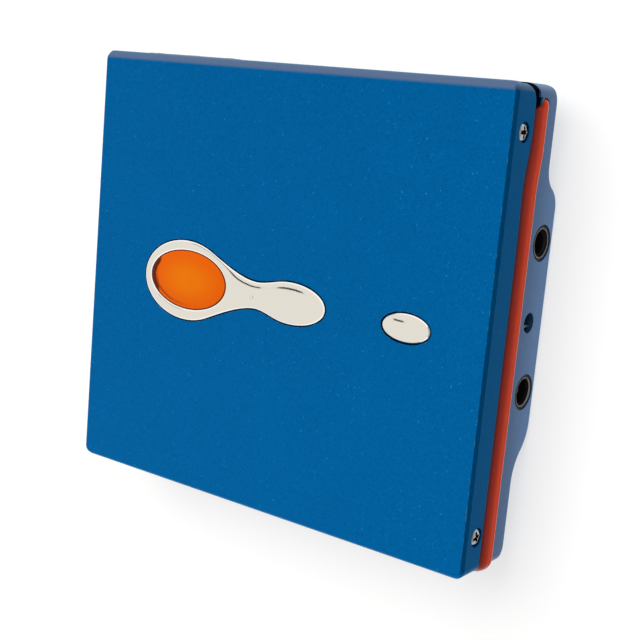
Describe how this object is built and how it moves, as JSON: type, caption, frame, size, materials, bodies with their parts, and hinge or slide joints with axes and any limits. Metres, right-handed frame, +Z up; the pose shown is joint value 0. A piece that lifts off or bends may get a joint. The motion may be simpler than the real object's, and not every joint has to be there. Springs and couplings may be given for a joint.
{
  "type": "portable minidisc player",
  "caption": "Flat pocket disc player with a hinged lid, a bead trim band round three sides, chrome keys in the lid, a humped back, side jacks and an end battery door.",
  "frame": {"origin": "on the flat of the back, under the middle of the casing", "axes": "+X across the lid to the jacks, +Y from the disc mouth to the hinge, +Z up through the lid"},
  "size_m": [0.0826, 0.0757, 0.0179],
  "materials": {
    "lid_blue": "satin anodised, fine flake",
    "base_blue": "satin anodised, fine flake",
    "trim_orange": "glossy translucent",
    "chrome_plate": "bright plating",
    "lens_orange": "clear orange",
    "steel": "plain sheet",
    "spring_steel": "spring wire",
    "dark_plastic": "moulded",
    "grey_plastic": "moulded",
    "board_green": "coated board",
    "chip_black": "moulded package",
    "copper": "enamelled winding",
    "ferrite": "bonded magnet",
    "nickel": "nickel plating",
    "cell_wrap": "nickel can with a bare wrap",
    "optic": "coated lens",
    "magnesium": "cast"
  },
  "bodies": {
    "casing": {"base_shell": "base_blue", "trim_band": "trim_orange", "hinge_rod": "steel", "hinge_barrel": "steel", "hinge_springs": "spring_steel", "mechanism_chassis": "steel", "base_screws": "nickel", "spindle_motor_base": "steel", "stator_coils": "copper", "guide_shafts": "nickel", "sled_motor": "nickel", "main_board": "board_green", "board_chips": "chip_black", "rear_board": "board_green", "volume_switch": "dark_plastic", "headphone_jack": "dark_plastic", "power_jack": "dark_plastic", "power_jack_pin": "nickel", "jack_rings": "nickel", "jack_board": "board_green", "strap_bar": "nickel", "battery_cell": "cell_wrap", "battery_tray": "grey_plastic", "battery_contact": "nickel", "door_hinge_pin": "steel", "hold_switch": "dark_plastic"},
    "lid": {"lid_panel": "lid_blue", "left_lid_rail": "magnesium", "right_lid_rail": "magnesium", "disc_holder": "steel", "lid_screws": "nickel", "key_board": "board_green", "key_domes": "nickel"},
    "play": {"play_key": "chrome_plate", "play_key_lens": "lens_orange"},
    "stop": {"stop_key": "chrome_plate"},
    "disc_drive": {"rotor_cup": "steel", "rotor_magnet": "ferrite", "turntable": "dark_plastic"},
    "pickup": {"pickup_sled": "magnesium", "objective_lens": "optic"},
    "screw": {"lead_screw": "nickel"},
    "door": {"battery_door": "base_blue", "door_contact": "nickel"},
    "hold": {"hold_knob": "grey_plastic"},
    "opener": {"open_knob": "grey_plastic", "latch_plate": "steel"},
    "volume": {"volume_key": "grey_plastic"}
  },
  "joints": [
    {"name": "lid_hinge", "type": "hinge", "parent": "casing", "child": "lid", "pos_m": [0, 0.0343, 0.0146], "axis": [-1, 0, 0], "range_deg": [0, 60]},
    {"name": "play_key_press", "type": "slide", "parent": "lid", "child": "play", "axis": [0, 0, -1], "range_m": [0, 0.0003], "stiffness_N_per_m": 2000},
    {"name": "stop_key_press", "type": "slide", "parent": "lid", "child": "stop", "axis": [0, 0, -1], "range_m": [0, 0.0003], "stiffness_N_per_m": 1500},
    {"name": "volume_key_rock", "type": "hinge", "parent": "casing", "child": "volume", "pos_m": [-0.0289, 0.0355, 0.0071], "axis": [0, 0, 1], "range_deg": [-1.5, 1.5], "stiffness_Nm_per_rad": 0.02},
    {"name": "turntable_spin", "type": "hinge", "parent": "casing", "child": "disc_drive", "pos_m": [0, -0.003, 0.0085], "axis": [0, 0, 1], "continuous": true},
    {"name": "pickup_travel", "type": "slide", "parent": "casing", "child": "pickup", "axis": [-1, 0, 0], "range_m": [0, 0.0165]},
    {"name": "lead_screw_turn", "type": "hinge", "parent": "casing", "child": "screw", "pos_m": [-0.024, -0.0166, 0.0056], "axis": [1, 0, 0], "range_deg": [0, 1981]},
    {"name": "battery_door_swing", "type": "hinge", "parent": "casing", "child": "door", "pos_m": [-0.0403, 0.0193, 0.004], "axis": [0, 0, -1], "range_deg": [0, 90]},
    {"name": "hold_slide", "type": "slide", "parent": "casing", "child": "hold", "axis": [0, 1, 0], "range_m": [0, 0.002]},
    {"name": "opener_slide", "type": "slide", "parent": "casing", "child": "opener", "axis": [0, -1, 0], "range_m": [0, 0.0016], "stiffness_N_per_m": 300}
  ],
  "couplings": [
    {"joint": "lead_screw_turn", "follows": "pickup_travel", "rad_per_m": 2094.4}
  ]
}
